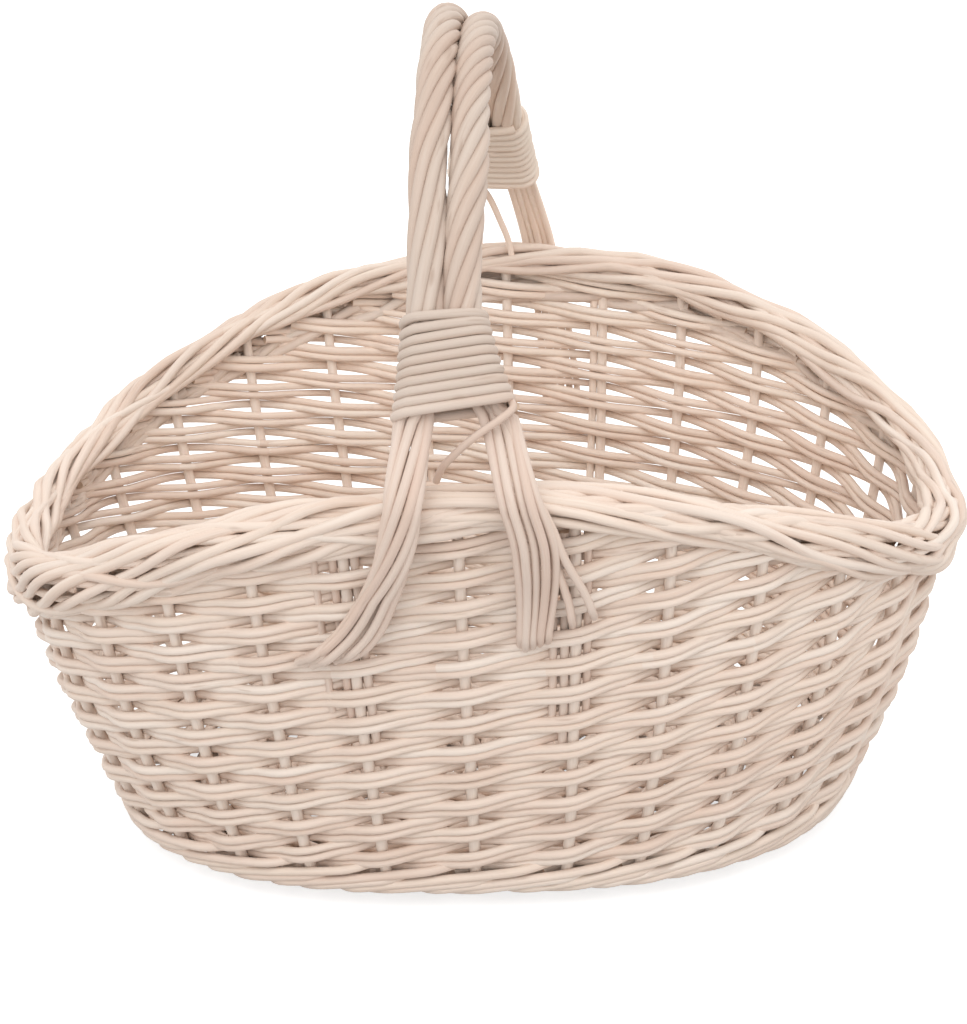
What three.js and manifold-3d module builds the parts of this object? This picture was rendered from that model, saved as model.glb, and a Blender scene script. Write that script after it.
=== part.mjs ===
import * as THREE from 'three';
import { mergeVertices } from 'three/addons/utils/BufferGeometryUtils.js';
import Module from 'manifold-3d';

// Willow basket with an arched rim and a fixed handle of two ropes. Millimetres, Z up,
// long axis on X, front at -Y, standing on Z = 0.

// Body
const rimLength = 440;
const rimWidth = 332;
const rimSquareness = 2.37;
const endHeight = 148.5;
const crownHeight = 213.6;
const crownShift = 7;
const crownCurve = 2.1;
const endRise = 1.9;
const baseLength = 320;
const baseWidth = 240;
const baseSquareness = 2.5;
const baseShiftX = -2.6;
const baseShiftY = -4.5;
const wallBulge = 0.5;

// Border that closes the rim
const borderOutside = 14;
const borderInside = 11;
const borderDepth = 30;
const plaitStrands = 8;
const plaitTurns = 3;
const plaitGroove = 3;
const plaitEase = 2;

// Foot and base
const footHeight = 23;
const footThickness = 13;
const standLength = 292;
const standWidth = 226;
const standFace = 8;
const heelHeight = 5;
const floorThickness = 11;
const floorLift = 4;
const longStickWidth = 6;
const longStickThickness = 4;
const longStickGap = 5;
const shortStickWidth = 8;
const shortStickThickness = 7;
const shortStickSpacing = 24;
const shortStickCount = 3;
const stickPlay = 2;
const crossingMargin = 7;
const crossingSquareness = 3;

// Stakes and weavers
const stakePairs = 14;
const stakeDiameter = 5.1;
const stakeSeat = 12;
const stakeFloor = 6;
const socketLip = 1;
const handleBay = 48.5;
const weaverThickness = 3.5;
const levelCount = 13;
const weaverTail = 5;

// Handle
const handleHeight = 368.5;
const handleShift = 5;
const ropeDiameter = 16.6;
const bowSpan = 360;
const bowFoot = 135;
const bowSquareness = 1.69;
const bowEase = 0.12;
const legSpread = 90;
const legEndHeight = 131;
const legThickness = 8;
const legWidth = 20;
const frontBindingTop = 276;
const rearBindingTop = 291;
const bindingDrop = 35;
const bindingRod = 3.3;
const bindingTurns = 10;
const bindingSplay = 14.5;
const tieReach = 13;
const coreRod = 3.2;
const coreEnd = 82;

const clearance = 0.3;

// Sides round a stake, a rope and a binding rod, and steps along them
const stakeSides = 6;
const stakeSteps = 5;
const coreSteps = 4;
const ropeSides = 8;
const archSteps = 11;
const bindingSides = 5;
const arcSteps = 5;
const sharpTurn = 0.14;

const stakeCount = 2 * stakePairs;
const stakeRadius = stakeDiameter / 2;
const ropeRadius = ropeDiameter / 2;
const wave = stakeRadius + clearance + weaverThickness / 2;
const wallHalfLength = rimLength / 2 - borderOutside;
const wallHalfWidth = rimWidth / 2 - borderOutside;

const wasm = await Module();
wasm.setup();

// Point of an oval whose sides are fuller the larger its squareness is
function oval(halfLength, halfWidth, squareness, angle) {
  const c = Math.cos(angle);
  const s = Math.sin(angle);
  const sum = Math.abs(c / halfLength) ** squareness + Math.abs(s / halfWidth) ** squareness;
  const reach = sum ** (-1 / squareness);
  return [reach * c, reach * s];
}

// Crest of the border over a point of the wall
function crestHeight(x) {
  const run = x > crownShift ? wallHalfLength - crownShift : wallHalfLength + crownShift;
  const share = Math.min(1, Math.abs((x - crownShift) / run));
  const tilt = (endRise * x) / wallHalfLength;
  return endHeight + tilt + (crownHeight - endHeight) * (1 - share ** crownCurve);
}

const rimPlan = (angle) => oval(wallHalfLength, wallHalfWidth, rimSquareness, angle);
const underside = (angle) => crestHeight(rimPlan(angle)[0]) - borderDepth;

// Plan of the middle of the wall at a height
function wallPlan(angle, z) {
  const [xr, yr] = rimPlan(angle);
  const [xb, yb] = oval(baseLength / 2, baseWidth / 2, baseSquareness, angle);
  const v = z / underside(angle);
  const g = v + wallBulge * v * (1 - v);
  return [
    xb + baseShiftX + (xr - xb - baseShiftX) * g,
    yb + baseShiftY + (yr - yb - baseShiftY) * g,
  ];
}

// Point at a distance outside the middle of the wall, and aside from it
function wallPoint(angle, z, outward, aside = 0) {
  const step = 0.002;
  const [x, y] = wallPlan(angle, z);
  const [x1, y1] = wallPlan(angle - step, z);
  const [x2, y2] = wallPlan(angle + step, z);
  const size = Math.hypot(x2 - x1, y2 - y1);
  const tx = (x2 - x1) / size;
  const ty = (y2 - y1) / size;
  return [x + ty * outward + tx * aside, y - tx * outward + ty * aside, z];
}

// Angles of the stakes: one in the middle of the front and of the back, each with a wider
// bay beside it for the handle, and the others evenly along the rim
function placeStakes() {
  const steps = 2400;
  const front = Math.atan2(-wallHalfWidth, handleShift);
  const back = Math.atan2(wallHalfWidth, handleShift);
  const angles = [];
  for (const side of [1, -1]) {
    const sweep = side > 0 ? back - front : 2 * Math.PI - (back - front);
    const start = side > 0 ? front : back;
    const lengths = [0];
    let last = rimPlan(start);
    for (let i = 1; i <= steps; i++) {
      const here = rimPlan(start + (sweep * i) / steps);
      lengths.push(lengths[i - 1] + Math.hypot(here[0] - last[0], here[1] - last[1]));
      last = here;
    }
    const even = (lengths[steps] - 2 * handleBay) / (stakePairs - 2);
    for (let k = 0; k < stakePairs; k++) {
      const target = k === 0 ? 0 : handleBay + (k - 1) * even;
      let i = lengths.findIndex((length) => length >= target);
      i = Math.max(i, 1);
      const part = (target - lengths[i - 1]) / (lengths[i] - lengths[i - 1]);
      angles.push(start + (sweep * (i - 1 + part)) / steps);
    }
  }
  return angles;
}

const stakeAngles = placeStakes();

// Angle at a place counted in stakes round the rim, from the middle of the front
function angleAt(place) {
  const turn = Math.floor(place / stakeCount);
  const inside = place - turn * stakeCount;
  const k = Math.floor(inside);
  const next = k + 1 < stakeCount ? stakeAngles[k + 1] : stakeAngles[0] + 2 * Math.PI;
  return stakeAngles[k] + (next - stakeAngles[k]) * (inside - k) + turn * 2 * Math.PI;
}

const bayWidth = (place) => {
  const [x1, y1] = rimPlan(angleAt(place - 0.5));
  const [x2, y2] = rimPlan(angleAt(place + 0.5));
  return Math.hypot(x2 - x1, y2 - y1);
};

// Bays that turn more sharply than sharpTurn, in radians, get a station in their middle
function bayTurn(k) {
  const heading = (place) => {
    const [x1, y1] = rimPlan(angleAt(place - 0.05));
    const [x2, y2] = rimPlan(angleAt(place + 0.05));
    return Math.atan2(y2 - y1, x2 - x1);
  };
  const turn = heading(k + 1) - heading(k);
  return Math.abs(Math.atan2(Math.sin(turn), Math.cos(turn)));
}

const hasMiddle = [];
for (let k = 0; k < stakeCount; k++) {
  hasMiddle.push(bayTurn(k) > sharpTurn);
}
const wrap = (k) => ((k % stakeCount) + stakeCount) % stakeCount;

const stations = [];
for (let k = 0; k < stakeCount; k++) {
  stations.push(k);
  if (hasMiddle[k]) {
    stations.push(k + 0.5);
  }
}

const lowestUnderside = Math.min(...stations.map((place) => underside(angleAt(place))));
const levelPitch = (lowestUnderside - footHeight - 2 * clearance) / levelCount;
const levelHeight = (level) => footHeight + clearance + (level + 0.5) * levelPitch;
const bandHeight = levelPitch - clearance;

// Closed mesh through sections that have the same number of corners
function loft(sections, isRing = false) {
  const corners = sections[0].length;
  const points = sections.flat();
  const faces = [];
  const count = isRing ? sections.length : sections.length - 1;
  for (let i = 0; i < count; i++) {
    const here = i * corners;
    const next = ((i + 1) % sections.length) * corners;
    for (let j = 0; j < corners; j++) {
      const k = (j + 1) % corners;
      faces.push([here + j, here + k, next + k], [here + j, next + k, next + j]);
    }
  }
  if (!isRing) {
    const end = (sections.length - 1) * corners;
    for (let j = 1; j < corners - 1; j++) {
      faces.push([0, j + 1, j], [end, end + j, end + j + 1]);
    }
  }
  let volume = 0;
  for (const [a, b, c] of faces) {
    const [p, q, r] = [points[a], points[b], points[c]];
    volume += p[0] * (q[1] * r[2] - q[2] * r[1]);
    volume += p[1] * (q[2] * r[0] - q[0] * r[2]);
    volume += p[2] * (q[0] * r[1] - q[1] * r[0]);
  }
  const geometry = new THREE.BufferGeometry();
  geometry.setAttribute('position', new THREE.Float32BufferAttribute(points.flat(), 3));
  geometry.setIndex(faces.flatMap(([a, b, c]) => (volume > 0 ? [a, b, c] : [a, c, b])));
  return geometry;
}

function toSolid(geometry) {
  const bare = geometry.clone();
  bare.deleteAttribute('normal');
  bare.deleteAttribute('uv');
  const merged = mergeVertices(bare, 1e-4);
  const vertProperties = new Float32Array(merged.attributes.position.array);
  const triVerts = new Uint32Array(merged.index.array);
  return new wasm.Manifold(new wasm.Mesh({ numProp: 3, vertProperties, triVerts }));
}

function toGeometry(solid) {
  const mesh = solid.getMesh();
  const geometry = new THREE.BufferGeometry();
  const position = new THREE.Float32BufferAttribute(mesh.vertProperties, mesh.numProp);
  geometry.setAttribute('position', position);
  geometry.setIndex([...mesh.triVerts]);
  return geometry;
}

function cutFrom(geometry, cutters) {
  let solid = toSolid(geometry);
  for (const cutter of cutters) {
    solid = solid.subtract(toSolid(cutter));
  }
  return toGeometry(solid);
}

const basket = new THREE.Group();

function add(name, geometry, color, roughness) {
  const material = new THREE.MeshStandardMaterial({ color, roughness, metalness: 0 });
  geometry.computeVertexNormals();
  const mesh = new THREE.Mesh(geometry, material);
  mesh.name = name;
  basket.add(mesh);
}

const willow = { weaver: 0xdcc6b4, stake: 0xd2b9a4, rope: 0xe2cdbd, base: 0xcdb49d };
const number = (k) => String(k + 1).padStart(2, '0');

// Stakes stand in the foot and in the border
function stakeSection(angle, z, radius) {
  const section = [];
  for (let j = 0; j < stakeSides; j++) {
    const a = (2 * Math.PI * j) / stakeSides;
    section.push(wallPoint(angle, z, radius * Math.cos(a), radius * Math.sin(a)));
  }
  return section;
}

const stakeTop = (angle) => underside(angle) + stakeSeat;

function stake(angle) {
  const low = footHeight + socketLip;
  const high = underside(angle) - socketLip;
  const sections = [stakeSection(angle, stakeFloor, stakeRadius)];
  for (let i = 0; i <= stakeSteps; i++) {
    sections.push(stakeSection(angle, low + ((high - low) * i) / stakeSteps, stakeRadius));
  }
  sections.push(stakeSection(angle, stakeTop(angle), stakeRadius));
  return loft(sections);
}

// Sections of a straight socket round one end of a stake, a little longer than the end
function socket(angle, inner, outer) {
  const radius = stakeRadius + clearance;
  const past = clearance / Math.abs(outer - inner);
  const near = stakeSection(angle, outer, radius);
  const end = stakeSection(angle, inner, radius);
  const far = end.map((p, j) => p.map((value, axis) => value + (value - near[j][axis]) * past));
  return loft([near, far]);
}

stakeAngles.forEach((angle, k) => {
  add(`stake_${number(k)}`, stake(angle), willow.stake, 0.6);
});

// Section of a band of two rods side by side, at a place round the wall and a height
const halfBand = weaverThickness / 2;

function bandSection(place, z, outward, facing, height = bandHeight) {
  const angle = angleAt(place);
  const near = outward - facing * halfBand;
  const far = outward + facing * halfBand;
  return [
    wallPoint(angle, z - height / 2, near),
    wallPoint(angle, z - height / 2, far),
    wallPoint(angle, z + height / 2, far),
    wallPoint(angle, z + height / 2, near),
  ];
}

// A band turns back round a stake from one side of the wall to the other, and is squeezed
// there where a climbing band passes over it
function turnSections(k, direction, side, facing, z1, z2, height, squeeze) {
  const angle = angleAt(k);
  const near = wave - side * facing * halfBand;
  const far = wave + side * facing * halfBand;
  const [x1, y1] = wallPlan(angle, z1);
  const [x2, y2] = wallPlan(angleAt(k + direction), z1);
  const climbRate = levelPitch / Math.hypot(x2 - x1, y2 - y1);
  const reach = (wave + halfBand) * climbRate + 2 * clearance;
  return [45, 0, -45].map((degrees) => {
    const a = (degrees * Math.PI) / 180;
    const z = z1 + ((z2 - z1) * (1 - Math.sin(a))) / 2;
    const low = z - height / 2;
    const high = z + height / 2 - squeeze * reach * Math.cos(a);
    const corner = (radius, level) =>
      wallPoint(angle, level, side * radius * Math.sin(a), direction * radius * Math.cos(a));
    return [corner(near, low), corner(far, low), corner(far, high), corner(near, high)];
  });
}

// Even levels pass outside the stakes and odd levels inside them
const levelSide = (level) => (level % 2 === 0 ? 1 : -1);

// A band climbs one level at each stake, to the right as seen from outside
function climb(first, facing) {
  const sections = [];
  for (let level = 0; level < levelCount; level++) {
    const k = first + level;
    const outward = wave * levelSide(level);
    sections.push(bandSection(k, levelHeight(level), outward, facing));
    if (level < levelCount - 1 && hasMiddle[wrap(k)]) {
      sections.push(bandSection(k + 0.5, levelHeight(level + 0.5), 0, facing));
    }
  }
  const last = first + levelCount - 1;
  const tail = weaverTail / bayWidth(last);
  const outward = wave * levelSide(levelCount - 1);
  sections.push(bandSection(last + tail, levelHeight(levelCount - 1), outward, facing));
  return sections;
}

// Two climbing bands are one doubled weaver: it comes down as the second band, runs
// outside two stakes above the foot, turns back inside the first and climbs again
function weaver(first) {
  const down = climb(first + 1, 1).reverse();
  const bottom = levelHeight(0);
  const run = hasMiddle[wrap(first)] ? [bandSection(first + 0.5, bottom, wave, 1)] : [];
  run.push(bandSection(first, bottom, wave, 1));
  const turn = turnSections(first, -1, 1, 1, bottom, bottom, bandHeight, 1);
  const up = [bandSection(first, bottom, -wave, -1)];
  if (hasMiddle[wrap(first)]) {
    up.push(bandSection(first + 0.5, levelHeight(0.5), -wave, -1));
  }
  up.push(bandSection(first + 1, levelHeight(1), -wave, -1));
  const rest = climb(first, -1);
  const skipped = hasMiddle[wrap(first)] ? 3 : 2;
  return loft([...down, ...run, ...turn, ...up, ...rest.slice(skipped)]);
}

for (let pair = 0; pair < stakePairs; pair++) {
  add(`weaver_${number(pair)}`, weaver(2 * pair), willow.weaver, 0.62);
}

// Packing raises the middle of the front and of the back: one band goes to and fro, each
// row only as long as the border leaves room for
const packingFloor = levelHeight(levelCount - 0.5);

function packing(centre) {
  const space = (k) => {
    const beside = (wave + halfBand) / bayWidth(k);
    const room = Math.min(underside(angleAt(k - beside)), underside(angleAt(k + beside)));
    return room - packingFloor - 2 * clearance;
  };
  const fitting = (k) => Math.max(0, Math.round(space(k) / levelPitch));
  const rows = Math.max(1, Math.min(fitting(centre - 1), fitting(centre), fitting(centre + 1)));
  const rowsAt = (k) => Math.min(rows, fitting(k));
  const pitchAt = (k) => space(k) / rowsAt(k);
  const heightAt = (k, row) => packingFloor + (row + 0.5) * pitchAt(k);

  const lastStake = (row, direction) => {
    let k = centre + direction;
    while (rowsAt(k + direction) > row && Math.abs(k - centre) < stakePairs / 2 - 1) {
      k += direction;
    }
    return k;
  };
  const endOf = (row, direction) => {
    const turnsUp = (row % 2 === 0) === direction > 0;
    return lastStake(turnsUp ? Math.min(row + 1, rows - 1) : row, direction);
  };

  const sections = [];
  let facing = 1;
  for (let row = 0; row < rows; row++) {
    const direction = row % 2 === 0 ? 1 : -1;
    const to = endOf(row, direction);
    for (let k = endOf(row, -direction); k !== to + direction; k += direction) {
      const side = (k + row) % 2 === 0 ? 1 : -1;
      const height = pitchAt(k) - clearance;
      sections.push(bandSection(k, heightAt(k, row), wave * side, facing, height));
      const next = k + direction;
      if (k !== to && hasMiddle[wrap(Math.min(k, next))]) {
        const z = (heightAt(k, row) + heightAt(next, row)) / 2;
        const middle = (height + pitchAt(next) - clearance) / 2;
        sections.push(bandSection((k + next) / 2, z, 0, facing, middle));
      }
    }
    if (row < rows - 1) {
      const side = (to + row) % 2 === 0 ? 1 : -1;
      const [z1, z2] = [heightAt(to, row), heightAt(to, row + 1)];
      const height = pitchAt(to) - clearance;
      sections.push(...turnSections(to, direction, side, facing, z1, z2, height, 0));
      facing = -facing;
    }
  }
  return loft(sections);
}

add('front_packing', packing(stakeCount), willow.weaver, 0.62);
add('rear_packing', packing(stakePairs), willow.weaver, 0.62);

// Border: a plaited ring over the wall, with a socket for each stake. Its profile is given
// as the distance outside the middle of the wall and the share of the border's depth
const borderProfile = [
  [-borderInside * 0.6, 0],
  [borderOutside * 0.62, 0],
  [borderOutside, 0.3],
  [borderOutside * 0.86, 0.75],
  [borderOutside * 0.2, 1],
  [-borderInside * 0.5, 0.97],
  [-borderInside, 0.6],
  [-borderInside, 0.3],
];

const plaitMiddle = [(borderOutside - borderInside) / 2, borderDepth / 2];

// Distance from the middle of the profile to its edge, in a direction
function plaitReach(direction) {
  const c = Math.cos(direction);
  const s = Math.sin(direction);
  const corners = borderProfile.map(([outward, rise]) =>
    [outward - plaitMiddle[0], rise * borderDepth - plaitMiddle[1]]);
  const reaches = corners.map(([x1, y1], i) => {
    const [x2, y2] = corners[(i + 1) % corners.length];
    const facing = (y2 - y1) * c - (x2 - x1) * s;
    return facing > 0 ? ((y2 - y1) * x1 - (x2 - x1) * y1) / facing : Infinity;
  });
  return Math.min(...reaches);
}

// The plait's strands wind round the ring, with grooves between them that fade out
// under the handle. One lies on the profile's widest point at the middle of the front
const [widestOutward, widestRise] = borderProfile[2];
const firstStrand = Math.atan2(
  widestRise * borderDepth - plaitMiddle[1], widestOutward - plaitMiddle[0]);

const borderSections = stations.map((place) => {
  const angle = angleAt(place);
  const twist = (2 * Math.PI * plaitTurns * place) / stakeCount;
  const fromHandle = Math.min(place % stakePairs, stakePairs - (place % stakePairs));
  const groove = plaitGroove * Math.min(1, fromHandle / plaitEase);
  const section = [];
  for (let j = 0; j < 2 * plaitStrands; j++) {
    const direction = firstStrand + twist + (Math.PI * j) / plaitStrands;
    const reach = plaitReach(direction) - (j % 2) * groove;
    const outward = plaitMiddle[0] + reach * Math.cos(direction);
    const height = plaitMiddle[1] + reach * Math.sin(direction);
    const [x, y] = oval(wallHalfLength + outward, wallHalfWidth + outward, rimSquareness, angle);
    section.push([x, y, underside(angle) + height]);
  }
  return section;
});

const borderSockets = stakeAngles.map((angle) =>
  socket(angle, stakeTop(angle), underside(angle) - socketLip));
add('border', cutFrom(loft(borderSections, true), borderSockets), willow.weaver, 0.62);

// Foot: the wale that stands on the table, with a socket for each stake
const footSections = stations.map((place) => {
  const angle = angleAt(place);
  const reach = footThickness / 2;
  const stand = (inset) => {
    const [x, y] = oval(standLength / 2 - inset, standWidth / 2 - inset, baseSquareness, angle);
    return [x + baseShiftX, y + baseShiftY, 0];
  };
  return [
    stand(standFace),
    stand(0),
    wallPoint(angle, heelHeight, reach - clearance),
    wallPoint(angle, footHeight, reach),
    wallPoint(angle, footHeight, -reach),
  ];
});

const footSockets = stakeAngles.map((angle) =>
  socket(angle, stakeFloor, footHeight + socketLip));
add('foot_wale', cutFrom(loft(footSections, true), footSockets), willow.weaver, 0.62);

// Base: long sticks pass through slots in the short ones, and the woven floor holds both
const floorTop = floorLift + floorThickness;
const floorMiddle = floorLift + floorThickness / 2;

function floorRim(angle, z, gap) {
  const share = z / footHeight;
  const inset = standFace + gap;
  const [x, y] = oval(standLength / 2 - inset, standWidth / 2 - inset, baseSquareness, angle);
  const top = wallPoint(angle, footHeight, -footThickness / 2 - gap);
  const bottom = [x + baseShiftX, y + baseShiftY];
  return [
    bottom[0] + (top[0] - bottom[0]) * share,
    bottom[1] + (top[1] - bottom[1]) * share,
    z,
  ];
}

function box(sizeX, sizeY, sizeZ, x, y, z) {
  const geometry = new THREE.BoxGeometry(sizeX, sizeY, sizeZ);
  geometry.translate(x, y, z);
  return geometry;
}

const floorGap = 2 * clearance;
const longRows = [-1, 1].map((side) => (side * (longStickWidth + longStickGap)) / 2);
const shortColumns = [];
for (let i = 0; i < shortStickCount; i++) {
  shortColumns.push((i - (shortStickCount - 1) / 2) * shortStickSpacing);
}

// How far a stick reaches along an axis before the lower corner of its end, at an offset
// on the other axis, would meet the edge of the floor
function stickReach(offset, thickness, along) {
  const across = 1 - along;
  const shift = [baseShiftX, baseShiftY];
  const edge = (turned) => {
    const angle = along === 0 ? turned : Math.PI / 2 - turned;
    return floorRim(angle, floorMiddle - thickness / 2, floorGap);
  };
  let low = 0;
  let high = Math.PI / 2;
  for (let i = 0; i < 30; i++) {
    const middle = (low + high) / 2;
    if (edge(middle)[across] - shift[across] < offset) {
      low = middle;
    } else {
      high = middle;
    }
  }
  return edge(low)[along] - shift[along] - stickPlay;
}

function longStick(y, play) {
  const reach = stickReach(Math.abs(y) + longStickWidth / 2, longStickThickness, 0);
  const width = longStickWidth + play;
  const thickness = longStickThickness + play;
  return box(2 * reach + play, width, thickness, baseShiftX, baseShiftY + y, floorMiddle);
}

function shortStick(x, play) {
  const reach = stickReach(Math.abs(x) + shortStickWidth / 2, shortStickThickness, 1);
  const width = shortStickWidth + play;
  const thickness = shortStickThickness + play;
  return box(width, 2 * reach + play, thickness, baseShiftX + x, baseShiftY, floorMiddle);
}

longRows.forEach((y, i) => add(`base_long_stick_${i + 1}`, longStick(y, 0), willow.base, 0.65));
shortColumns.forEach((x, i) => {
  const slots = longRows.map((y) => longStick(y, 2 * clearance));
  const geometry = cutFrom(shortStick(x, 0), slots);
  add(`base_short_stick_${i + 1}`, geometry, willow.base, 0.65);
});

// The weaving starts round the crossing of the sticks
const crossHalfX = ((shortStickCount - 1) * shortStickSpacing) / 2 + shortStickWidth / 2;
const crossHalfY = longStickWidth + longStickGap / 2;
const floorSections = [];
for (const place of stations) {
  const angle = angleAt(place);
  const halfX = crossHalfX + crossingMargin;
  const halfY = crossHalfY + crossingMargin;
  const [x, y] = oval(halfX, halfY, crossingSquareness, angle);
  floorSections.push([
    [x + baseShiftX, y + baseShiftY, floorLift],
    floorRim(angle, floorLift, floorGap),
    floorRim(angle, floorTop, floorGap),
    [x + baseShiftX, y + baseShiftY, floorTop],
  ]);
}
const channels = [
  ...longRows.map((y) => longStick(y, 2 * clearance)),
  ...shortColumns.map((x) => shortStick(x, 2 * clearance)),
];
add('base_weave', cutFrom(loft(floorSections, true), channels), willow.base, 0.65);

// Handle: each rope is an arch whose ends spread into flat legs outside the wall
const bowTop = handleHeight - ropeRadius;
// Points of the border's profile that a leg passes over, and the way it faces there
const legGuides = [[3, 38], [2, 0], [1, -45]];
const ropeHalfGap = ropeRadius + clearance;

// The arch is an oval eased at its top, so that the rope bends there in a round curve
const easeSquare = bowEase ** 2;
const eased = (share) =>
  (1 - ((share ** 2 + easeSquare) / (1 + easeSquare)) ** (bowSquareness / 2)) ** (1 / bowSquareness);

function archZ(y) {
  const share = Math.min(1, (2 * y) / bowSpan);
  return bowFoot + ((bowTop - bowFoot) * eased(share)) / eased(0);
}

function archY(z) {
  const rise = Math.min(1, Math.max(0, (z - bowFoot) / (bowTop - bowFoot))) * eased(0);
  const square = (1 - rise ** bowSquareness) ** (2 / bowSquareness) * (1 + easeSquare) - easeSquare;
  return (bowSpan / 2) * Math.sqrt(Math.max(0, square));
}

const bindingTop = (side) => (side < 0 ? frontBindingTop : rearBindingTop);

// Half the distance between the ropes: side by side, splayed in the binding, then spread
function halfSpread(side, z) {
  const top = bindingTop(side);
  const bottom = top - bindingDrop;
  if (z >= top) {
    return ropeHalfGap;
  }
  if (z >= bottom) {
    return ropeHalfGap + (bindingSplay - ropeHalfGap) * ((top - z) / bindingDrop) ** 1.5;
  }
  const share = (bottom - z) / (bottom - legEndHeight);
  return bindingSplay + (legSpread / 2 - bindingSplay) * share;
}

// Middle of a leg: over the widest part of the border, then close along the wall
const legPlay = legThickness / 2 + 2 * clearance;
const crown = crestHeight(handleShift);
const borderFoot = crown - borderDepth;

function legPath(side) {
  const stakeAngle = side < 0 ? stakeAngles[0] : stakeAngles[stakePairs];
  const wallFace = (z) => {
    const face = wallPoint(stakeAngle, z, wave + halfBand);
    return [Math.abs(face[1]) + legPlay, z];
  };
  const overBorder = legGuides.map(([profilePoint, degrees]) => {
    const [outward, rise] = borderProfile[profilePoint];
    const a = (degrees * Math.PI) / 180;
    return [
      wallHalfWidth + outward + legPlay * Math.cos(a),
      borderFoot + rise * borderDepth + legPlay * Math.sin(a),
    ];
  });
  const start = bindingTop(side) - bindingDrop;
  const points = [
    [archY(start), start],
    ...overBorder,
    wallFace((borderFoot + legEndHeight) / 2),
    wallFace(legEndHeight),
  ];
  const curve = new THREE.CatmullRomCurve3(
    points.map(([y, z]) => new THREE.Vector3(0, side * y, z)), false, 'centripetal');
  return curve.getPoints(points.length * 2).slice(1);
}

function bowPath() {
  const arch = [];
  for (let i = -archSteps; i <= archSteps; i++) {
    const endY = archY(bindingTop(Math.sign(i)) - bindingDrop);
    const y = endY * Math.sin((Math.PI / 2) * (i / archSteps));
    arch.push(new THREE.Vector3(0, y, archZ(Math.abs(y))));
  }
  return [...legPath(-1).reverse(), ...arch, ...legPath(1)];
}

function bow(side) {
  const path = bowPath();
  for (const point of path) {
    point.x = handleShift + side * halfSpread(Math.sign(point.y), point.z);
  }
  const across = new THREE.Vector3(1, 0, 0);
  const sections = path.map((point, i) => {
    const before = path[Math.max(0, i - 1)];
    const after = path[Math.min(path.length - 1, i + 1)];
    const along = after.clone().sub(before).normalize();
    const out = along.clone().cross(across).normalize();
    const flat = out.clone().cross(along).normalize();
    const start = bindingTop(Math.sign(point.y)) - bindingDrop;
    const share = Math.min(1, Math.max(0, start - point.z) / (start - crown));
    const width = ropeRadius + (legWidth / 2 - ropeRadius) * share;
    const thickness = ropeRadius + (legThickness / 2 - ropeRadius) * share;
    const section = [];
    for (let j = 0; j < ropeSides; j++) {
      const a = (2 * Math.PI * (j + 0.5)) / ropeSides;
      const corner = point.clone();
      corner.addScaledVector(flat, width * Math.cos(a));
      corner.addScaledVector(out, thickness * Math.sin(a));
      section.push(corner.toArray());
    }
    return section;
  });
  return loft(sections);
}

add('handle_rope_left', bow(-1), willow.rope, 0.55);
add('handle_rope_right', bow(1), willow.rope, 0.55);

// Binding: one rod wound round both ropes, whose end runs down to the border
function bindingPath(side, endCorner) {
  const rod = bindingRod / 2;
  const reach = (ropeRadius + clearance + rod) / Math.cos(Math.PI / (2 * arcSteps));
  const corners = [];
  for (const end of [1, -1]) {
    for (let j = 0; j <= arcSteps; j++) {
      const a = ((j / arcSteps - 0.5) * Math.PI) + (end < 0 ? Math.PI : 0);
      corners.push([end, Math.cos(a), Math.sin(a)]);
    }
  }
  const total = corners.length * bindingTurns + endCorner;
  const points = [];
  for (let i = 0; i <= total; i++) {
    const [end, c, s] = corners[i % corners.length];
    const z = bindingTop(side) - (bindingDrop * i) / total;
    const y = archY(z);
    const slope = (archY(z + 1) - archY(z - 1)) / 2;
    const size = Math.hypot(slope, 1);
    const x = end * halfSpread(side, z) + reach * c;
    points.push(new THREE.Vector3(
      handleShift + x, side * (y - (reach * s) / size), z - (reach * s * -slope) / size));
  }
  return points;
}

function leastGap(points, diameter, perTurn) {
  let least = Infinity;
  for (let i = 0; i < points.length; i++) {
    for (let j = i + Math.floor(perTurn / 2); j < points.length; j++) {
      least = Math.min(least, points[i].distanceTo(points[j]) - diameter);
    }
  }
  return least;
}

function rodAlong(points, diameter, sides) {
  const frames = [];
  let out = new THREE.Vector3(0.3, 0.2, 1);
  points.forEach((point, i) => {
    const before = points[Math.max(0, i - 1)];
    const after = points[Math.min(points.length - 1, i + 1)];
    const along = after.clone().sub(before).normalize();
    out = out.clone().addScaledVector(along, -out.dot(along)).normalize();
    frames.push({ point, out, side: along.clone().cross(out) });
  });
  return loft(frames.map((frame) => {
    const section = [];
    for (let j = 0; j < sides; j++) {
      const a = (2 * Math.PI * j) / sides;
      const corner = frame.point.clone();
      corner.addScaledVector(frame.out, (diameter / 2) * Math.cos(a));
      corner.addScaledVector(frame.side, (diameter / 2) * Math.sin(a));
      section.push(corner.toArray());
    }
    return section;
  }));
}

// The front tie starts behind the right rope and the rear one behind the left
const ties = [['front', -1, -tieReach, arcSteps], ['rear', 1, tieReach, arcSteps + 1]];
for (const [name, side, tieEnd, endCorner] of ties) {
  const path = bindingPath(side, endCorner);
  const gap = leastGap(path, bindingRod, path.length / bindingTurns);
  console.log(`${name} binding: least gap between its turns ${gap.toFixed(2)} mm`);
  const last = path[path.length - 1];
  const down = new THREE.Vector3(last.x, last.y - side * bindingRod, last.z - 2 * bindingRod);
  const seatX = handleShift + tieEnd;
  const seatZ = crestHeight(seatX) + bindingRod;
  path.push(down, new THREE.Vector3(seatX, side * wallHalfWidth, seatZ));
  add(`${name}_binding`, rodAlong(path, bindingRod, bindingSides), willow.rope, 0.55);
}

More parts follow.
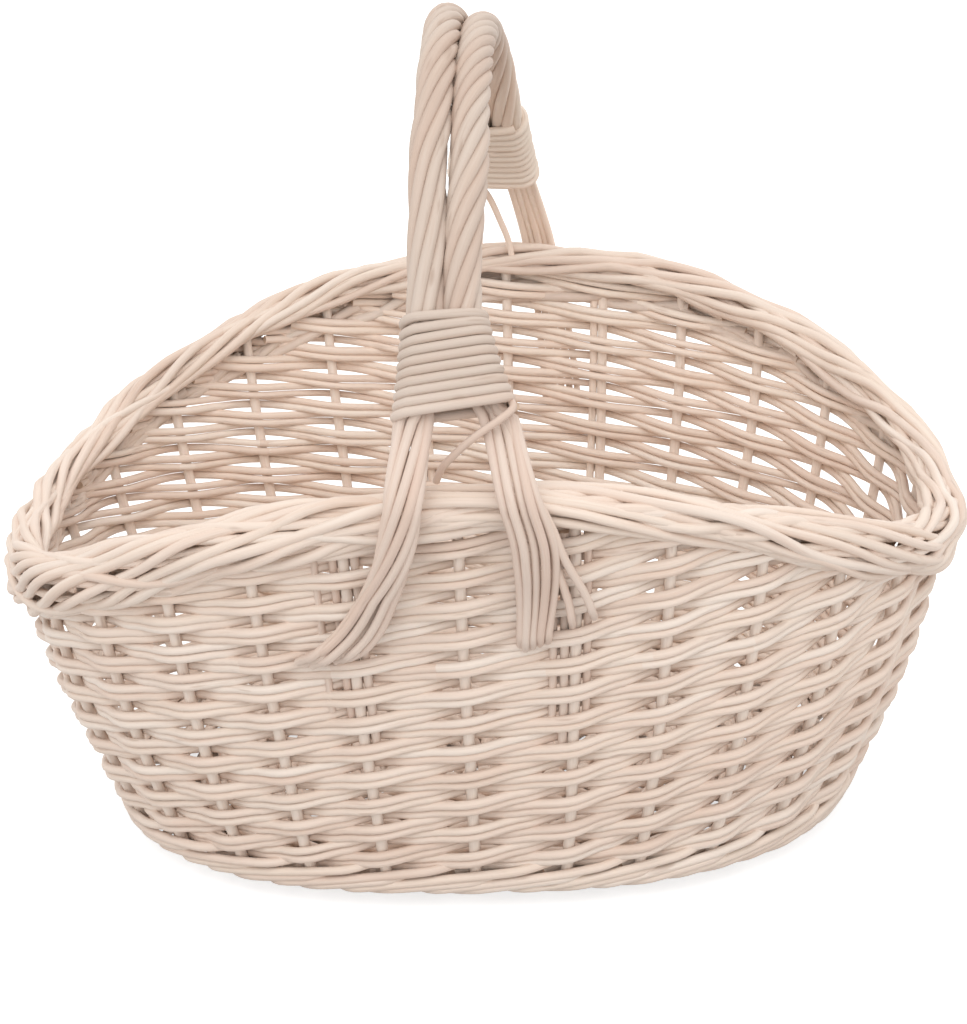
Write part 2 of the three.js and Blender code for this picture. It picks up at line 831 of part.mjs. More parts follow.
// Core rods of the handle run down in the wall beside the stakes under its legs
function core(k, direction) {
  const angle = stakeAngles[wrap(k)];
  const aside = direction * (stakeRadius + clearance + coreRod / 2);
  const top = underside(angle) - 2 * clearance;
  const sections = [];
  for (let i = 0; i <= coreSteps; i++) {
    const z = coreEnd + ((top - coreEnd) * i) / coreSteps;
    const section = [];
    for (let j = 0; j < stakeSides; j++) {
      const a = (2 * Math.PI * j) / stakeSides;
      const out = (coreRod / 2) * Math.cos(a);
      section.push(wallPoint(angle, z, out, aside + (coreRod / 2) * Math.sin(a)));
    }
    sections.push(section);
  }
  return loft(sections);
}

add('front_core_rod_left', core(-1, 1), willow.rope, 0.55);
add('front_core_rod_right', core(1, -1), willow.rope, 0.55);
add('rear_core_rod_right', core(stakePairs - 1, 1), willow.rope, 0.55);
add('rear_core_rod_left', core(stakePairs + 1, -1), willow.rope, 0.55);

export default basket;
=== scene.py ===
import math
import random

import bpy
import numpy as np
from mathutils import Matrix, Vector


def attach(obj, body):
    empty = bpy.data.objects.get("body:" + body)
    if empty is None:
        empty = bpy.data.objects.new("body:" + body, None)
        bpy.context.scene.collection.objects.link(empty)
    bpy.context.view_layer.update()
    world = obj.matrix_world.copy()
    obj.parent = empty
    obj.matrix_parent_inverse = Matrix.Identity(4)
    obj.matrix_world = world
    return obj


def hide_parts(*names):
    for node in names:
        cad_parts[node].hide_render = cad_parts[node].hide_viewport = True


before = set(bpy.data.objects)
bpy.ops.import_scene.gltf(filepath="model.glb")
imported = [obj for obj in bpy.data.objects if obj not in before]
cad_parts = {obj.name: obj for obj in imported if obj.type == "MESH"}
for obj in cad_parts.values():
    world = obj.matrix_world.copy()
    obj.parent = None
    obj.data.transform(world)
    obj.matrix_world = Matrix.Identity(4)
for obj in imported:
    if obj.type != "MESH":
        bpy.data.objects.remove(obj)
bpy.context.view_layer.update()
bpy.ops.object.select_all(action="DESELECT")
print("frame loaded")

# Sizes below are in millimetres, as willow workers give them
perMetre = 1000
basket = {
    "rimLength": 412, "rimWidth": 304, "rimSquareness": 2.37,  # middle of the wall at the top
    "baseLength": 320, "baseWidth": 240, "baseSquareness": 2.5,
    "baseShiftX": -2.6, "baseShiftY": -4.5, "bulge": 0.5,
    "endHeight": 148.5, "endRise": 1.9, "crownHeight": 213.6, "crownShift": 7, "crownCurve": 2.1,
    "borderDepth": 30, "stakeCount": 28, "handleBay": 48.5, "handleShift": 5,
    "footTop": 23.3, "levelPitch": 7.154, "levelCount": 13,
}


def oval(length, width, squareness, angle):
    c, s = math.cos(angle), math.sin(angle)
    a, b = abs(2 * c / length), abs(2 * s / width)
    reach = (a ** squareness + b ** squareness) ** (-1 / squareness)
    return reach * c, reach * s


def rim(angle, outward=0):
    length, width = basket["rimLength"] + 2 * outward, basket["rimWidth"] + 2 * outward
    return oval(length, width, basket["rimSquareness"], angle)


def crest(x):
    half, shift = basket["rimLength"] / 2, basket["crownShift"]
    run = half - shift if x > shift else half + shift
    share = min(1, abs(x - shift) / run)
    ends = basket["endHeight"] + basket["endRise"] * x / half
    return ends + (basket["crownHeight"] - basket["endHeight"]) * (1 - share ** basket["crownCurve"])


def underside(angle):
    return crest(rim(angle)[0]) - basket["borderDepth"]


def wallPlan(angle, z):
    top = rim(angle)
    low = oval(basket["baseLength"], basket["baseWidth"], basket["baseSquareness"], angle)
    share = z / underside(angle)
    share += basket["bulge"] * share * (1 - share)
    x = low[0] + basket["baseShiftX"] + (top[0] - low[0] - basket["baseShiftX"]) * share
    y = low[1] + basket["baseShiftY"] + (top[1] - low[1] - basket["baseShiftY"]) * share
    return x, y


# A point of the wall, moved outwards and to the right along the wall
def wallPoint(angle, z, outward=0, aside=0):
    near = 0.002  # the wall's direction is taken between angles this close by
    x, y = wallPlan(angle, z)
    before, after = wallPlan(angle - near, z), wallPlan(angle + near, z)
    dx, dy = after[0] - before[0], after[1] - before[1]
    size = math.hypot(dx, dy)
    dx, dy = dx / size, dy / size
    return x + dy * outward + dx * aside, y - dx * outward + dy * aside, z


# The stakes stand at even steps of the rim, with a wider bay on each side of the handle's middle
def placeStakes():
    front = math.atan2(-basket["rimWidth"] / 2, basket["handleShift"])
    back = math.atan2(basket["rimWidth"] / 2, basket["handleShift"])
    steps, pairs, angles = 2400, basket["stakeCount"] // 2, []
    for start, sweep in ((front, back - front), (back, 2 * math.pi - (back - front))):
        lengths, last = [0], rim(start)
        for i in range(1, steps + 1):
            here = rim(start + sweep * i / steps)
            lengths.append(lengths[-1] + math.hypot(here[0] - last[0], here[1] - last[1]))
            last = here
        even = (lengths[-1] - 2 * basket["handleBay"]) / (pairs - 2)
        for k in range(pairs):
            target = 0 if k == 0 else basket["handleBay"] + (k - 1) * even
            step = float(np.interp(target, lengths, range(steps + 1)))
            angles.append(start + sweep * step / steps)
    return angles


stakeAngles = placeStakes()


# Angle of a place counted in stakes from 0 in the middle of the front, to the right
def angleAt(place):
    count = basket["stakeCount"]
    turn = math.floor(place / count)
    inside = place - turn * count
    k = min(count - 1, math.floor(inside))
    after = stakeAngles[k + 1] if k + 1 < count else stakeAngles[0] + 2 * math.pi
    return stakeAngles[k] + (after - stakeAngles[k]) * (inside - k) + turn * 2 * math.pi


def levelHeight(level):
    return basket["footTop"] + (level + 0.5) * basket["levelPitch"]


# Value round the rim from a few known places, smooth between them
def roundRim(known, place):
    count = basket["stakeCount"]
    places = sorted(known)
    place = (place - places[0]) % count + places[0]
    loop = places + [places[0] + count]
    for a, b in zip(loop, loop[1:]):
        if place <= b:
            share = (place - a) / (b - a)
            share = share * share * (3 - 2 * share)
            return known[a] + (known[b if b in known else places[0]] - known[a]) * share


# Two slow waves of chance, so that no rod lies quite like the next
waves = {"speeds": ((0.8, 1.7), (2.1, 3.9)), "turn": 6.28}


def wander(chance, size):
    parts = [(chance.uniform(*speeds), chance.uniform(0, waves["turn"])) for speeds in waves["speeds"]]
    return lambda s: size * sum(math.sin(speed * s + start) for speed, start in parts) / len(parts)


# Shader maths as Python expressions
class Shade:
    tree = None

    def __init__(self, socket):
        self.socket = socket

    # Adds a node: its settings first, then the inputs, by name or as i0, i1 and so on by number
    @classmethod
    def node(cls, kind, settings=None, **inputs):
        new = cls.tree.nodes.new(kind)
        for key, value in (settings or {}).items():
            if key == "stops":
                ramp = new.color_ramp
                while len(ramp.elements) < len(value):
                    ramp.elements.new(1)
                for element, (place, color) in zip(ramp.elements, value):
                    element.position, element.color = place, color
            else:
                setattr(new, key, value)
        for key, value in inputs.items():
            numbered = key[0] == "i" and key[1:].isdigit()
            socket = new.inputs[int(key[1:]) if numbered else key.replace("_", " ")]
            if isinstance(value, Shade):
                cls.tree.links.new(value.socket, socket)
            else:
                socket.default_value = value
        return new

    @classmethod
    def math(cls, operation, *values):
        inputs = {f"i{n}": value for n, value in enumerate(values)}
        return cls(cls.node("ShaderNodeMath", {"operation": operation}, **inputs).outputs[0])

    def __add__(self, other):
        return Shade.math("ADD", self, other)

    def __radd__(self, other):
        return Shade.math("ADD", other, self)

    def __sub__(self, other):
        return Shade.math("SUBTRACT", self, other)

    def __rsub__(self, other):
        return Shade.math("SUBTRACT", other, self)

    def __mul__(self, other):
        return Shade.math("MULTIPLY", self, other)

    def __rmul__(self, other):
        return Shade.math("MULTIPLY", other, self)

    def __lt__(self, other):
        return Shade.math("LESS_THAN", self, other)

    def __gt__(self, other):
        return Shade.math("GREATER_THAN", self, other)

    # 0 at low, 1 at high, with a soft passage
    def between(self, low, high):
        settings = {"interpolation_type": "SMOOTHSTEP"}
        passage = Shade.node("ShaderNodeMapRange", settings, Value=self, From_Min=low, From_Max=high)
        return Shade(passage.outputs[0])

    # A colour mixed with another, or multiplied by it
    def toward(self, other, amount, blend="MIX"):
        settings = {"data_type": "RGBA", "blend_type": blend}
        return Shade(Shade.node("ShaderNodeMix", settings, i0=amount, i6=self, i7=other).outputs[2])


# Linear colour from a screen colour's hex code
def fromHex(code):
    values = [int(code[i:i + 2], 16) / 255 for i in (0, 2, 4)]
    return tuple(v / 12.92 if v <= 0.04045 else ((v + 0.055) / 1.055) ** 2.4 for v in values) + (1,)


# Peeled willow: each rod has its own tone, grain along it, small scars and a bare cut end, and some pieces
# have painted light or shade
willowFinish = {
    "seed": 1.3, "gloss": 0.35, "index": 1.45, "roughness": 0.5, "fibreRoughness": 0.18,
    "bump": 0.35, "bumpDepth": 0.0003, "patchBump": 0.8, "toneStep": 3.7, "grainStep": 5.3,
    "tones": ["E0CCBE", "E5D4C7", "E3D2C4", "E8DBD0", "DCC8BA"],
    "warm": "D8BEAD", "pale": "ECE1D7", "dark": "C4A997", "scar": "AC917F", "cutEnd": "D2B9A3",
    # Each grain: how fine it is round a rod and along it, its detail, and where its noise starts
    "fibres": (3.2, 42, 3, 0), "patches": (0.35, 14, 2, 11), "scars": (0.8, 55, 1, 23),
    # Each colour over the tone: its grain, the grain's values between which it comes in, and its share
    "layers": {"warm": ("patches", 0.45, 0.75, 0.5), "pale": ("fibres", 0.5, 0.8, 0.35),
               "dark": ("fibres", 0.5, 0.2, 0.22), "scar": ("scars", 0.66, 0.84, 0.5)},
    # Painted light and shade behind (Y) or up the handle (Z), as factors on the tone: axis, the metres
    # between which they come in, and factor
    "tints": [],
}
cutMark = -1  # V of a rod's cut ends


def makeWillow(name, changes):
    finish = willowFinish | changes
    material = bpy.data.materials.new(name)
    material.use_nodes = True
    Shade.tree = material.node_tree
    Shade.tree.nodes.clear()
    uv = Shade.node("ShaderNodeSeparateXYZ", Vector=Shade(Shade.node("ShaderNodeUVMap").outputs[0]))
    around, along = Shade(uv.outputs[0]), Shade(uv.outputs[1])
    rod = Shade.math("FLOOR", around)
    turn = (around - rod) * (2 * math.pi)

    def grain(roundScale, alongScale, detail, start):
        spot = Shade.node("ShaderNodeCombineXYZ", X=Shade.math("COSINE", turn) * roundScale + start,
                          Y=Shade.math("SINE", turn) * roundScale,
                          Z=along * alongScale + rod * finish["grainStep"])
        noise = Shade.node("ShaderNodeTexNoise", Vector=Shade(spot.outputs[0]), Scale=1.0, Detail=detail)
        return Shade(noise.outputs[0])

    grains = {kind: grain(*finish[kind]) for kind in ("fibres", "patches", "scars")}
    rodChance = Shade.node("ShaderNodeTexWhiteNoise", {"noise_dimensions": "1D"},
                           W=rod * finish["toneStep"] + finish["seed"])
    stops = [(n / (len(finish["tones"]) - 1), fromHex(code)) for n, code in enumerate(finish["tones"])]
    ramp = Shade.node("ShaderNodeValToRGB", {"stops": stops}, Fac=Shade(rodChance.outputs[0]))
    tone = Shade(ramp.outputs[0])
    for color, (kind, low, high, share) in finish["layers"].items():
        tone = tone.toward(fromHex(finish[color]), grains[kind].between(low, high) * share)
    # Painted light and shade: the tone lightened or darkened by a factor behind or up the handle
    for axis, low, high, factor in finish["tints"]:
        spot = Shade(Shade.node("ShaderNodeTexCoord").outputs["Object"])
        distance = Shade(Shade.node("ShaderNodeSeparateXYZ", Vector=spot).outputs[axis])
        tone = tone.toward(factor, distance.between(low, high), "MULTIPLY")
    tone = tone.toward(fromHex(finish["cutEnd"]), along < cutMark / 2)
    bump = Shade.node("ShaderNodeBump", Strength=finish["bump"], Distance=finish["bumpDepth"],
                      Height=grains["fibres"] + grains["patches"] * finish["patchBump"])
    bsdf = Shade.node("ShaderNodeBsdfPrincipled", Base_Color=tone, Normal=Shade(bump.outputs[0]),
                      Roughness=finish["roughness"] + grains["fibres"] * finish["fibreRoughness"],
                      IOR=finish["index"], Specular_IOR_Level=finish["gloss"])
    Shade.node("ShaderNodeOutputMaterial", Surface=Shade(bsdf.outputs[0]))
    return material


# Painted light: the rear wall's weaving and stakes lightened by about an eighth, where the lamps leave its
# inner side darker
rearPaintedLight = ("Y", 0.03, 0.11, (1.12, 1.125, 1.12, 1))
willowFinishes = {
    "willow_weaver": makeWillow("peeledWeaver", {"tints": [rearPaintedLight]}),
    "willow_stake": makeWillow("peeledStake", {"seed": 4.1, "tints": [rearPaintedLight]}),
    # Painted shade and light on the handle: tones darker than the wall's and darker up the handle, where the
    # lamps light it most, and lighter behind, where the front rope shades it
    "willow_rope": makeWillow("peeledHandleRod", {
        "seed": 8.9, "tones": ["D5BFB1", "DBC8BB", "D7C4B7", "DDCDC1", "D2BBAD"], "pale": "E2D5CA",
        "tints": [("Z", 0.232, 0.262, (0.82, 0.82, 0.81, 1)), ("Y", 0.03, 0.11, (1.26, 1.3, 1.3, 1))],
    }),
    "willow_base": makeWillow("peeledBaseRod", {
        "seed": 6.2, "layers": willowFinish["layers"] | {"warm": ("patches", 0.45, 0.75, 0.7)},
    }),
}
# Painted shade: the border darkened a little behind
borderLook = makeWillow("peeledBorderRod", {"tints": [("Y", 0.03, 0.11, (0.97, 0.965, 0.96, 1))]})
print("willow finishes made")


rodMesh = {"corners": 8, "uvEdge": 0.01, "mergeWithin": 0.00001, "smoothBelow": 60}


# Lays rods as round curves and turns them into one closed mesh. A rod is a list of
# (point, thickness). U is the rod's number and runs round it, V is the length along it in metres.
# marks gives each rod's number and the length at its start, where a rod goes on from another piece
def layRods(name, rods, nodes, finish, corners=rodMesh["corners"], marks=None, look=None):
    bpy.ops.curve.primitive_nurbs_path_add()
    piece = bpy.context.object
    piece.name = name
    curve = piece.data
    curve.splines.clear()
    for rod in rods:
        spline = curve.splines.new("POLY")
        spline.points.add(len(rod) - 1)
        for point, (place, thickness) in zip(spline.points, rod):
            point.co = (place[0] / perMetre, place[1] / perMetre, place[2] / perMetre, 1)
            point.radius = thickness / 2
    curve.bevel_depth = 1 / perMetre  # so that a radius counts in millimetres
    curve.bevel_resolution = corners // 2 - 2
    curve.use_fill_caps = True
    bpy.ops.object.convert(target="MESH")
    mesh = piece.data
    mesh.name = name

    layer = mesh.uv_layers.active.uv
    uv = np.zeros(2 * len(mesh.loops), dtype=np.float32)
    layer.foreach_get("vector", uv)
    uv = uv.reshape(-1, 2)
    start = len(rods) * 2 * (corners - 2) * 3  # the cut ends' triangles come first
    uv[:start] = (0.5, cutMark)
    for index, rod in enumerate(rods):
        steps = [math.dist(a[0], b[0]) / perMetre for a, b in zip(rod, rod[1:])]
        lengths = np.concatenate([[0], np.cumsum(steps)])
        part = uv[start:start + (len(rod) - 1) * corners * 4]  # then each rod's squares
        along = lengths[np.rint(part[:, 0] * (len(rod) - 1)).astype(int)]
        number, begin = marks[index] if marks else (index, 0)
        part[:, 0] = number + rodMesh["uvEdge"] + (1 - 2 * rodMesh["uvEdge"]) * part[:, 1]
        part[:, 1] = begin + along
        start += len(part)
    layer.foreach_set("vector", uv.ravel())

    bpy.ops.object.mode_set(mode="EDIT")
    bpy.ops.mesh.select_all(action="SELECT")
    bpy.ops.mesh.remove_doubles(threshold=rodMesh["mergeWithin"])
    bpy.ops.mesh.normals_make_consistent(inside=False)
    bpy.ops.object.mode_set(mode="OBJECT")
    bpy.ops.object.shade_smooth_by_angle(angle=math.radians(rodMesh["smoothBelow"]))
    mesh.materials.clear()
    mesh.materials.append(look or willowFinishes[finish])
    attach(piece, "root")
    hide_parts(*nodes)
    piece.select_set(False)


def smoothStep(low, high, value):
    share = min(1, max(0, (value - low) / (high - low)))
    return share * share * (3 - 2 * share)


# How far the plait's edges lie beyond the frame's border, in millimetres, by place: stakes counted to
# the right from the middle of the front
plaitLow = {
    -7: -7, -5: -9, -3: -6, -2: -3, -0.8: 1, 0.6: 8, 1.4: 8, 2.4: 5, 3.4: 1, 4.6: -1, 7: -3, 10: -3,
    15: -2, 18: -3,
}
plaitOut = {-7: 0, 4: 0, 6.6: 3.2, 9: 0}
plaitHigh = {-7: -1, -5: -3, -3: -3, -1.5: -1.5, 0.6: 0, 4: 0, 7: -0.5, 15: 0}

# Stakes: straight rods from the foot into the border
stake = {
    "thickness": 5.1, "bottomSize": 1.03, "taper": 0.09, "bottom": 8.5, "intoBorder": 16,
    "steps": 22, "corners": 10, "sway": 0.35, "lean": 0.3, "waveLength": 3, "seed": 100,
}
for k, angle in enumerate(stakeAngles):
    chance = random.Random(stake["seed"] + k)
    sway, lean = wander(chance, stake["sway"]), wander(chance, stake["lean"])
    top = underside(angle) + stake["intoBorder"]
    rod = []
    for i in range(stake["steps"] + 1):
        share = i / stake["steps"]
        z = stake["bottom"] + (top - stake["bottom"]) * share
        thickness = stake["thickness"] * (stake["bottomSize"] - stake["taper"] * share)
        s = share * stake["waveLength"]
        rod.append((wallPoint(angle, z, lean(s), sway(s)), thickness))
    layRods(f"stakeRod_{k + 1:02d}", [rod], [f"stake_{k + 1:02d}"], "willow_stake", stake["corners"])
print("stakes set")

# Weaving: each band of two rods goes in front of one stake, behind the next, and climbs a level at each
weave = {
    "wave": 4.3, "waveCurve": 2.1, "spacing": 1.82, "spread": 0.15, "thickness": 4.15, "taper": 0.12,
    "sizes": (0.93, 1.05), "step": 0.1, "start": -1.25, "tuck": 16, "wander": 0.26, "seed": 200,
    "search": 0.05, "shortest": 0.8,  # step along a band to find its ends, and its shortest stretch
    "seamSteps": 2, "seamSize": 0.85,  # packing goes on from inside the lower rod's end, thinner there
    "rearFrom": 7, "rearTo": 21, "rodNumbers": 900,
    "rear": {0: 0, 7: 0, 9: 1, 19: 1, 21: 0}, "rearCurve": -0.9, "rearSize": -0.06,  # wider windows behind
}


def weaveTop(place):
    return underside(angleAt(place)) + roundRim(plaitLow, place) + weave["tuck"]


# One rod of a band between two levels. The band starts at a stake, and side is -1 below or 1 above
def bandRod(band, first, last, side, chance):
    up, out = wander(chance, weave["wander"]), wander(chance, weave["wander"])
    thickness = weave["thickness"] * chance.uniform(*weave["sizes"])
    butt = chance.choice((-1, 1))
    rod = []
    for i in range(math.ceil((last - first) / weave["step"]) + 1):
        level = min(last, first + i * weave["step"])
        phase = math.cos(math.pi * level)
        apart = weave["spacing"] + weave["spread"] * phase * phase
        z = levelHeight(level) + side * apart + up(level)
        rear = roundRim(weave["rear"], band + level)
        curve = weave["waveCurve"] + weave["rearCurve"] * rear
        outward = weave["wave"] * math.copysign(abs(phase) ** curve, phase) + out(level)
        share = (level - first) / (last - first)
        size = 1 + butt * weave["taper"] * (share - 0.5) + weave["rearSize"] * rear
        rod.append((wallPoint(angleAt(band + level), z, outward), thickness * size))
    return rod


# Stretches of a band that lie under the border, as pairs of levels
def bandStretches(band):
    stretches, start, level = [], weave["start"], weave["start"]
    while level < basket["stakeCount"]:
        level += weave["search"]
        under = levelHeight(level) < weaveTop(band + level)
        if start is not None and not under:
            if level - start > weave["shortest"]:
                stretches.append((start, level))
            start = None
        elif start is None and under:
            start = level
    return stretches


# Above the last level a band goes on as packing, which is a piece of its own
packing = {"front_packing": ([], []), "rear_packing": ([], [])}  # rods and their marks
for pair in range(basket["stakeCount"] // 2):
    rods, marks = [], []
    for band in (2 * pair, 2 * pair + 1):
        chance = random.Random(weave["seed"] + band)
        for first, last in bandStretches(band):
            for side in (-1, 1):
                rod = bandRod(band, first, last, side, chance)
                number = chance.randrange(weave["rodNumbers"])
                seam = round((basket["levelCount"] - first) / weave["step"])
                seam = min(len(rod), max(0, seam))
                if seam > 1:
                    rods.append(rod[:seam + 1])
                    marks.append((number, 0))
                if len(rod) - seam > 1:
                    middle = (band + (max(first, basket["levelCount"]) + last) / 2) % basket["stakeCount"]
                    isRear = weave["rearFrom"] < middle < weave["rearTo"]
                    half = packing["rear_packing" if isRear else "front_packing"]
                    begin = max(0, seam - weave["seamSteps"])
                    thin = [(place, thickness * weave["seamSize"]) for place, thickness in rod[begin:seam]]
                    passed = sum(math.dist(p[0], q[0]) for p, q in zip(rod[:begin], rod[1:])) / perMetre
                    half[0].append(thin + rod[seam:])
                    half[1].append((number, passed))
    layRods(f"weaverBands_{pair + 1:02d}", rods, [f"weaver_{pair + 1:02d}"], "willow_weaver", marks=marks)
for name, node in (("frontPacking", "front_packing"), ("rearPacking", "rear_packing")):
    layRods(name, packing[node][0], [node], "willow_weaver", marks=packing[node][1])
print("wall woven")

# Foot: a wale of rods, each in front of two stakes and rising, with level rods under and behind them
foot = {
    "thickness": 4.4, "sizes": (0.94, 1.06), "start": -0.75, "end": 2.75, "step": 0.1,
    "low": 4.2, "second": 5.4, "rise": 5.3, "lowest": 2.6, "out": 4.4, "inside": -4.6,
    "forward": (-0.7, 0.1), "back": (1.9, 2.7), "up": 0.35, "aside": 0.3, "seed": 300,
    "standLength": 288, "standWidth": 214, "standInset": 1.2, "drawnIn": (2.4, 10.5),
    "levelRods": [(3.4, 2.35), (-1.4, 2.35), (-4.9, 14.4), (-5, 18.8)],  # outward and height
    "levelWander": 0.5, "levelWaves": 0.5, "levelSteps": 8, "levelShift": 9, "levelSeed": 340,
}


# Under its widest round the foot draws in to the ring that it stands on
def footPoint(place, z, outward):
    angle = angleAt(place)
    wall = wallPoint(angle, z, outward)
    inset = 2 * (foot["out"] + foot["standInset"] - outward)
    x, y = oval(foot["standLength"] - inset, foot["standWidth"] - inset, basket["baseSquareness"], angle)
    share = smoothStep(*foot["drawnIn"], z)
    x, y = x + basket["baseShiftX"], y + basket["baseShiftY"]
    return x + (wall[0] - x) * share, y + (wall[1] - y) * share, z


footRods = []
for k in range(2 * basket["stakeCount"]):
    chance = random.Random(foot["seed"] + k)
    low = foot["low"] + foot["second"] * (k % 2)
    up, out = wander(chance, foot["up"]), wander(chance, foot["aside"])
    thickness = foot["thickness"] * chance.uniform(*foot["sizes"])
    rod = []
    for i in range(round((foot["end"] - foot["start"]) / foot["step"]) + 1):
        s = foot["start"] + i * foot["step"]
        front = smoothStep(*foot["forward"], s) * (1 - smoothStep(*foot["back"], s))
        z = max(foot["lowest"], low + foot["rise"] * s + up(s))
        outward = foot["inside"] + (foot["out"] - foot["inside"]) * front + out(s)
        rod.append((footPoint(k / 2 + s, z, outward), thickness))
    footRods.append(rod)
for n, (outward, z) in enumerate(foot["levelRods"], 1):
    out = wander(random.Random(foot["levelSeed"] + n), foot["levelWander"])
    rod = []
    for i in range(basket["stakeCount"] * foot["levelSteps"] + 3):
        place = n * foot["levelShift"] + i / foot["levelSteps"]
        aside = out(place * foot["levelWaves"])
        rod.append((footPoint(place, z, outward + aside), foot["thickness"]))
    footRods.append(rod)
layRods("footWale", footRods, ["foot_wale"], "willow_weaver")
print("foot woven")

# Base: long sticks through the short ones, spread spokes and a woven floor
base = {
    "middle": 9.5, "stickSpacing": 11, "longThickness": 5.4, "longReach": 128, "longTaper": 0.12,
    "longCorners": 10, "longSeed": 400,
    "shortSpacing": 24, "shortThickness": 7.2, "shortReach": 93, "shortTaper": 0.2,
    "shortCorners": 12, "shortSeed": 410, "stickSteps": 30, "stickSway": 0.5, "swaySteps": 6,
    "spokeThickness": 3.4, "spokeStart": 0.3, "spokeTaper": 0.1, "spokeSteps": 8,
    "rodThickness": 4.3, "turns": 13.5, "wave": 3, "rodSteps": 6, "rodWander": 0.25, "rodSeed": 420,
    "startX": 58, "startY": 21, "startSquareness": 3, "edge": -5,
}


# A place on the floor: share is 0 at the sticks' ends and 1 at the wall
def floorPoint(place, share, z):
    angle = angleAt(place)
    near = oval(base["startX"], base["startY"], base["startSquareness"], angle)
    far = wallPoint(angle, z, base["edge"])
    x, y = near[0] + basket["baseShiftX"], near[1] + basket["baseShiftY"]
    return x + (far[0] - x) * share, y + (far[1] - y) * share, z


# A stick through the base's middle, thinner to both ends: distance along it, sway aside, thickness
def stickLine(kind, seed):
    sway = wander(random.Random(seed), base["stickSway"])
    for i in range(base["stickSteps"] + 1):
        share = 2 * i / base["stickSteps"] - 1
        thickness = base[kind + "Thickness"] * (1 - base[kind + "Taper"] * share ** 2)
        yield share * base[kind + "Reach"], sway(i / base["swaySteps"]), thickness


for n, side in enumerate((-1, 1)):
    x, y = basket["baseShiftX"], basket["baseShiftY"] + side * base["stickSpacing"] / 2
    steps = stickLine("long", base["longSeed"] + n)
    rod = [((along + x, y + aside, base["middle"]), thickness) for along, aside, thickness in steps]
    layRods(f"longStick_{n + 1}", [rod], [f"base_long_stick_{n + 1}"], "willow_base", base["longCorners"])
for n, side in enumerate((-1, 0, 1)):
    x, y = basket["baseShiftX"] + side * base["shortSpacing"], basket["baseShiftY"]
    steps = stickLine("short", base["shortSeed"] + n)
    rod = [((x + aside, along + y, base["middle"]), thickness) for along, aside, thickness in steps]
    layRods(f"shortStick_{n + 1}", [rod], [f"base_short_stick_{n + 1}"], "willow_base", base["shortCorners"])
floorRods = []
for k in range(basket["stakeCount"]):
    rod = []
    for i in range(base["spokeSteps"] + 1):
        share = base["spokeStart"] + (1 - base["spokeStart"]) * i / base["spokeSteps"]
        thickness = base["spokeThickness"] * (1 - base["spokeTaper"] * (1 - share))
        rod.append((floorPoint(k, share, base["middle"]), thickness))
    floorRods.append(rod)
for strand, side in enumerate((1, -1)):
    out = wander(random.Random(base["rodSeed"] + strand), base["rodWander"])
    rod = []
    for i in range(round(base["turns"] * basket["stakeCount"] * base["rodSteps"]) + 1):
        place = i / base["rodSteps"]
        share = (place / basket["stakeCount"] + strand / 2) / (base["turns"] + 0.5)
        z = base["middle"] + base["wave"] * side * math.cos(math.pi * place) + out(place)
        rod.append((floorPoint(place, share, z), base["rodThickness"]))
    floorRods.append(rod)
layRods("baseWeaving", floorRods, ["base_weave"], "willow_base")
print("base woven")

# Border: the bent stakes plaited over the top of the wall. Each rises to the inner edge and falls
# back to the outer one over half the rim, above or below those it meets
border = {
    "strands": 38, "thickness": 5, "tip": 4.1, "sizes": (0.92, 1.06), "corners": 10, "seed": 500,
    "span": 14, "start": -0.6, "end": 14.4, "step": 0.1, "outside": 13.8, "inside": -10.8,
    "low": -98, "high": 158, "turning": 0.97,  # degrees round the section, and how sharply a rod turns back
    "layer": 2.4, "change": 3.5, "out": 0.6, "roll": 0.22,
    "dive": 5, "diveIn": (0, 0.6), "diveOut": (13.7, 14.3),  # the ends go into the plait
    "weaving": 0.62, "weavingBay": 2.1, "weavingTurn": 2.5,
    # Where the rods that rise to the right lie on top (1), and where those that fall do (-1)
    "topFamily": {-14: 0.8, -7: 0.5, -4: 0.35, -1.2: 0.6, 0.2: -0.7, 2.6: -0.4, 4.6: -0.6, 6: 0.7},
}


# A place in the plait: turn is the angle round its section, depth lies under its surface
def borderPoint(place, turn, depth):
    angle = angleAt(place)
    bottom = underside(angle) + roundRim(plaitLow, place)
    top = underside(angle) + basket["borderDepth"] + roundRim(plaitHigh, place)
    halfOut, halfUp = (border["outside"] - border["inside"]) / 2, (top - bottom) / 2
    outward = (border["outside"] + border["inside"]) / 2 + (halfOut - depth) * math.cos(turn)
    x, y = rim(angle, outward + roundRim(plaitOut, place))
    return x, y, (top + bottom) / 2 + (halfUp - depth) * math.sin(turn)


plaitRods = []
for k in range(border["strands"]):
    chance = random.Random(border["seed"] + k)
    out, roll = wander(chance, border["out"]), wander(chance, border["roll"])
    thickness = chance.uniform(*border["sizes"])
    rod = []
    for i in range(round((border["end"] - border["start"]) / border["step"]) + 1):
        s = border["start"] + i * border["step"]
        place = k * basket["stakeCount"] / border["strands"] + s
        phase = 2 * math.pi * s / border["span"]
        share = 0.5 - math.asin(border["turning"] * math.cos(phase)) / (2 * math.asin(border["turning"]))
        turn = math.radians(border["low"] + (border["high"] - border["low"]) * share) + roll(s)
        crossing = math.sin(2 * math.pi * place / border["weavingBay"] + border["weavingTurn"] * turn)
        top = max(-1, min(1, roundRim(border["topFamily"], place) + border["weaving"] * crossing))
        over = math.tanh(border["change"] * math.sin(phase)) * top
        depth = border["thickness"] / 2 + border["layer"] * (1 - over) + out(s)
        depth += border["dive"] * smoothStep(*border["diveIn"], -s)
        depth += border["dive"] * smoothStep(*border["diveOut"], s)
        size = border["thickness"] + (border["tip"] - border["thickness"]) * s / border["span"]
        rod.append((borderPoint(place, turn, depth), size * thickness))
    plaitRods.append(rod)
layRods("plaitedBorder", plaitRods, ["border"], "willow_weaver", border["corners"], look=borderLook)
print("border plaited")

